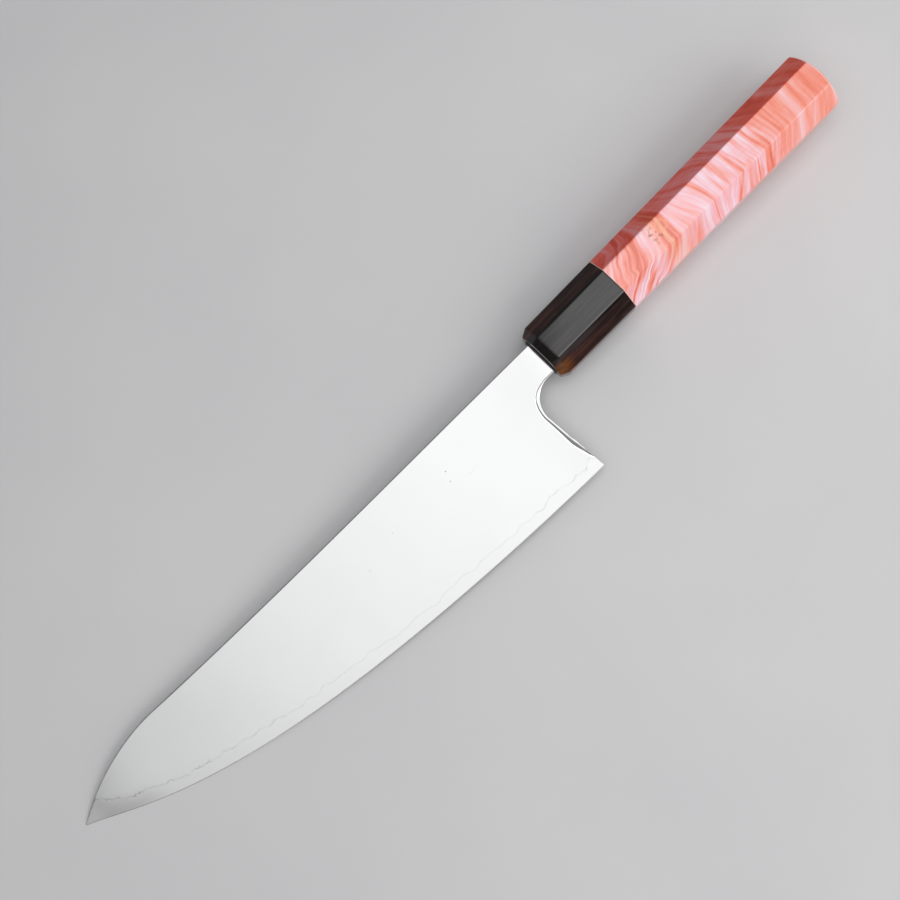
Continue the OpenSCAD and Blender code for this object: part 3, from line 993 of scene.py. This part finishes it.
def maple_figure(maple, here):
    """Two values at each place: how pale the maple is, and its fine curl.

    Bands of curl run across the grain. They slant one way in the middle and the other near the ferrule,
    where they swirl.
    """
    x, y, z = maple.parts(here)
    drift = maple.noise(maple.stretched(here, (1.0, 0.6, 0.6)), 0.05, 1.2, 0.5)
    swirl = maple.noise(here, 0.11, 1.0, 0.5, 0.3)
    near_joint = x.ramp(66.0, 38.0)
    butt = x.ramp(*BUTT_START)
    slant = 0.05 + 0.42 * x.band(72.0, 14.0) - 0.72 * x.ramp(60.0, 46.0)
    across = x - 0.75 * z + slant * y
    across = across + 9.0 * (drift - 0.5) + 8.0 * near_joint * (swirl - 0.5)
    curl = maple.vector(across, 0.09 * y, 0.09 * z)
    bands = maple.noise(curl, 0.20, 3.0, 0.6)
    fine = maple.noise(curl, 0.75, 2.0, 0.55)
    fibre = maple.noise(maple.stretched(here, (0.08, 1.0, 1.0)), 2.2, 3.0)
    crisp = x.band(95.0, 24.0)
    low_side = y.ramp(-4.9, -5.4)
    high_side = y.ramp(*HIGH_SIDE)
    broad = 1.1 + (0.3 + 0.5 * low_side) * near_joint + 0.3 * high_side
    figure = (bands - 0.5) * broad * (1 - 0.25 * butt)
    figure = figure + (fine - 0.5) * (0.5 + 0.7 * crisp + (0.4 + 0.5 * low_side) * near_joint)
    figure = figure + (fibre - 0.5) * (0.14 + 0.5 * high_side)
    stroke = fine.ramp(0.56, 0.42) * x.band(45.0, 7.0) * (0.35 + 0.65 * y.ramp(-2.0, -6.0))
    tone = 0.52 + figure + 0.14 * x.band(80.0, 24.0) - 0.03 * butt - 0.22 * stroke
    tone = tone + low_side * (0.03 + 0.13 * near_joint + 0.07 * x.ramp(110.0, 122.0))
    for middle, half, shift in CURL_STRIPES:
        tone = tone + shift * (across + STRIPE_OFFSET).band(middle, half)
    return tone, fine


def pink_maple():
    """Curly maple dyed pink and set in resin: more orange at the butt, a knot and specks on one facet. The
    spine-side facets are a deeper red as painted shade, and the butt's lip and the front edge have painted
    highlights.
    """
    maple = Finish("pink_maple", Roughness=0.28, IOR=1.5, Coat_Weight=0.25, Coat_Roughness=0.06)
    here = maple.place()
    x, y, z = maple.parts(here)
    tone, fine = maple_figure(maple, here)
    colour = maple.colours(
        tone,
        (0.22, (0.74, 0.13, 0.07)),
        (0.40, (0.89, 0.25, 0.18)),
        (0.53, (0.91, 0.36, 0.32)),
        (0.68, (0.92, 0.50, 0.55)),
        (0.85, (0.92, 0.69, 0.77)),
    )
    orange = maple.mix(1.0, colour, (0.99, 0.86, 0.66), "MULTIPLY")
    colour = maple.mix(0.5 * x.ramp(*BUTT_START), colour, orange)
    cream = fine.ramp(0.50, 0.62) * x.band(59.0, 9.0)
    colour = maple.mix(0.5 * cream, colour, (0.90, 0.56, 0.32))
    left_facet = z.ramp(7.5, 9.0)
    knot = ((x - 59.5) ** 2.0 + (y - 1.7) ** 2.0) ** 0.5
    colour = maple.mix(0.5 * knot.band(2.0, 1.3) * left_facet, colour, (0.93, 0.36, 0.20))
    specks = maple.noise(here, 0.5, 1.5, 0.6).ramp(0.57, 0.65)
    specks = specks * x.band(56.0, 9.0) * y.band(1.0, 5.0) * left_facet
    colour = maple.mix(0.9 * specks, colour, (0.40, 0.065, 0.02))
    # Painted shade: the spine-side facets, which face away from the key light, are a deeper red.
    painted_shade_red = maple.mix(1.0, colour, (0.70, 0.33, 0.30), "MULTIPLY")
    colour = maple.mix(y.ramp(*HIGH_SIDE), colour, painted_shade_red)
    # Painted highlights: the butt's rounded lip, where it faces partly along the handle, and a thin line at
    # the front end next to the ferrule are paler, standing in for the light's reflection there.
    lip = maple.facing((1, 0, 0)).band(0.55, 0.3) * x.ramp(130.0, 132.0)
    front_lip = x.ramp(FERRULE_LEN / MM + 0.35, FERRULE_LEN / MM + 0.15)
    colour = maple.mix(0.6 * (lip + front_lip), colour, (0.94, 0.77, 0.73))
    maple.set(Base_Color=colour)
    return maple.material


def pale_dowel():
    """Straight-grained pale wood."""
    wood = Finish("pale_dowel", Roughness=0.6)
    here = wood.place()
    grain = wood.noise(wood.stretched(here, (0.06, 1.0, 1.0)), 1.4, 4.0)
    wood.set(Base_Color=wood.colours(grain, (0.35, (0.50, 0.36, 0.20)), (0.65, (0.68, 0.54, 0.35))))
    wood.bump(grain, 0.3, 0.1 * MM)
    return wood.material


def amber_adhesive():
    """Cured epoxy with a few bubbles."""
    resin = Finish("amber_adhesive", Roughness=0.35, IOR=1.5)
    here = resin.place()
    bubbles = resin.noise(here, 0.8, 2.0)
    resin.set(Base_Color=resin.colours(bubbles, (0.4, (0.48, 0.38, 0.15)), (0.6, (0.60, 0.52, 0.28))))
    return resin.material


def dark_sealer():
    """Dark wax and resin that closes the ferrule's mouth."""
    wax = Finish("dark_sealer", IOR=1.5)
    here = wax.place()
    cloud = wax.noise(here, 1.5, 2.0)
    wax.set(
        Base_Color=wax.colours(cloud, (0.4, (0.020, 0.014, 0.012)), (0.6, (0.045, 0.03, 0.025))),
        Roughness=0.3 + 0.2 * cloud,
    )
    wax.bump(cloud, 0.4, 0.2 * MM)
    return wax.material


def pale_floor():
    """Matt pale board with the faintest mottling, darkened by painted shade far from the knife."""
    board = Finish("pale_floor", Specular_IOR_Level=0.2)
    here = board.add("ShaderNodeTexCoord", out="Object")
    cloud = board.noise(here, 9.0, 4.0)
    pale = board.colours(cloud, (0.3, (0.60, 0.60, 0.61)), (0.7, (0.64, 0.64, 0.645)))
    x, y = board.parts(here)[:2]
    # Painted shade: the board darkens to a dim grey far from the knife.
    far = ((x * x + y * y) ** 0.5).ramp(0.35, 0.9)
    board.set(
        Base_Color=board.mix(far, pale, (0.15, 0.15, 0.153)),
        Roughness=0.7 + 0.1 * cloud,
    )
    return board.material


def dress_solid(node, finish):
    """Gives a finish to a solid of the frame, which keeps its shape."""
    mesh = frame["nodes"][node].data
    mesh.materials.clear()
    mesh.materials.append(finish)


build_blade(polished_core(), polished_cladding())
build_ferrule(dark_horn())
build_handle(pink_maple())
dress_solid("tang_dowel", pale_dowel())
dress_solid("tang_adhesive", amber_adhesive())
dress_solid("mouth_seal", dark_sealer())


# ---- Floor, light and camera ----

FLOOR_HALF = 20.0
FLOOR_DROP = 0.1 * MM


def lay_floor():
    """The floor, a hair below the knife so that nothing touches it."""
    half = FLOOR_HALF
    mesh = bpy.data.meshes.new("floor")
    corners = [(-half, -half, 0), (half, -half, 0), (half, half, 0), (-half, half, 0)]
    mesh.from_pydata(corners, [], [(0, 1, 2, 3)])
    mesh.materials.append(pale_floor())
    floor = bpy.data.objects.new("floor", mesh)
    floor.location.z = -FLOOR_DROP
    bpy.context.collection.objects.link(floor)


def aim(thing, place, target, upward):
    """Puts a light or the camera at a place in the knife's frame and aims its -Z at a target there."""
    back = (Vector(place) - Vector(target)).normalized()
    right = Vector(upward).cross(back).normalized()
    turn = Matrix((right, back.cross(right), back)).transposed().to_4x4()
    turn.translation = Vector(place)
    thing.matrix_world = LAID @ turn


def soft_light(name, place, target, upward, size, glow, fades=None, colour=(1, 1, 1)):
    """A soft box as bright as glow. It may fade along its width and depth, by ramps of shares."""
    wide, deep = size
    light = bpy.data.lights.new(name, "AREA")
    light.shape = "RECTANGLE"
    light.size, light.size_y = wide, deep
    light.energy = glow * math.pi * wide * deep
    light.color = colour
    if fades:
        tree = Nodes(light)
        spot = tree.parts(tree.add("ShaderNodeNewGeometry", out="Parametric"))
        wide_share, deep_share = (
            tree.colours(way, *((at, (level,) * 3) for at, level in fade))
            for way, fade in zip(spot, fades)
        )
        tree.plug(tree.nodes["Emission"].inputs["Strength"], wide_share.least(deep_share))
    lamp = bpy.data.objects.new(name, light)
    bpy.context.collection.objects.link(lamp)
    aim(lamp, place, target, upward)


CAMERA_TILT = math.radians(-6.308)
CAMERA_LEAN = math.radians(2.327)
CAMERA_ROLL = math.radians(45.412)
CAMERA_AIM = Vector((-44.61, 0.11, 0)) * MM
CAMERA_AWAY = 629.34 * MM


def set_camera():
    """The camera, above the left side of the knife."""
    camera = bpy.data.cameras.new("camera")
    camera.lens, camera.sensor_width = 73.65, 36
    camera.clip_start, camera.clip_end = 0.01, 50
    turn = Matrix.Rotation(-CAMERA_TILT, 3, "X")
    turn = turn @ Matrix.Rotation(-CAMERA_LEAN, 3, "Y") @ Matrix.Rotation(-CAMERA_ROLL, 3, "Z")
    place = turn.to_4x4()
    place.translation = CAMERA_AIM + turn @ Vector((0, 0, CAMERA_AWAY))
    eye = bpy.data.objects.new("camera", camera)
    eye.matrix_world = LAID @ place
    bpy.context.collection.objects.link(eye)
    bpy.context.scene.camera = eye


# The overhead box is brightest over the heel, and has a dim skirt on two sides
WIDTH_FADE = (
    (0.0, 0.2), (0.16, 0.33), (0.189, 0.42), (0.222, 0.585), (0.272, 0.65), (0.325, 0.77), (0.378, 0.865),
    (0.432, 0.92), (0.486, 0.97), (0.53, 1.0), (0.56, 0.955), (0.6, 0.89), (0.66, 0.89), (0.74, 1.0),
    (0.846, 1.0), (0.85, 0.12), (1.0, 0.12),
)
DEPTH_FADE = ((0.0, 0.12), (0.395, 0.12), (0.4, 1.0))

# The room's glow by the sine of the height angle: dim at floor level, soft above it
SKY_FADE = ((0.0, 0.07), (0.08, 0.1), (0.26, 0.32), (0.75, 0.32), (0.9, 0.07))


def set_lights():
    """An overhead box for the blade, a strip for the handle, two more from the edge side, and the room."""
    above = (-0.02, -0.16, 0.80)
    soft_light("overhead", above, (-0.02, -0.16, 0), (0, 1, 0), (1.3, 1.0), 1.675, (WIDTH_FADE, DEPTH_FADE))
    soft_light("strip", (0.175, 0.0, 0.79), (0.175, 0.0, 0), (0, 1, 0), (0.15, 0.3), 2.6)
    soft_light("key", (0.05, -0.72, 0.68), (0, 0, 0), (0, 0, 1), (1.2, 0.5), 1.5, None, (1.0, 0.97, 0.94))
    soft_light("side", (0.66, -0.34, 0.40), (0, 0, 0), (0, 0, 1), (1.4, 0.45), 1.6)
    world = bpy.data.worlds.new("studio")
    sky = Nodes(world)
    way = sky.add("ShaderNodeTexCoord", out="Generated")
    stops = ((at, (level, level, 1.03 * level)) for at, level in SKY_FADE)
    glow = sky.colours(sky.parts(way)[2], *stops)
    panels = sky.add("ShaderNodeTexNoise", sockets={"Vector": way, "Scale": 3.2, "Detail": 0.0})
    sky.plug(sky.nodes["Background"].inputs["Color"], glow)
    sky.plug(sky.nodes["Background"].inputs["Strength"], 0.62 + 0.85 * panels.ramp(0.36, 0.64))
    bpy.context.scene.world = world


lay_floor()
set_camera()
set_lights()
bpy.context.scene.view_settings.view_transform = "Standard"
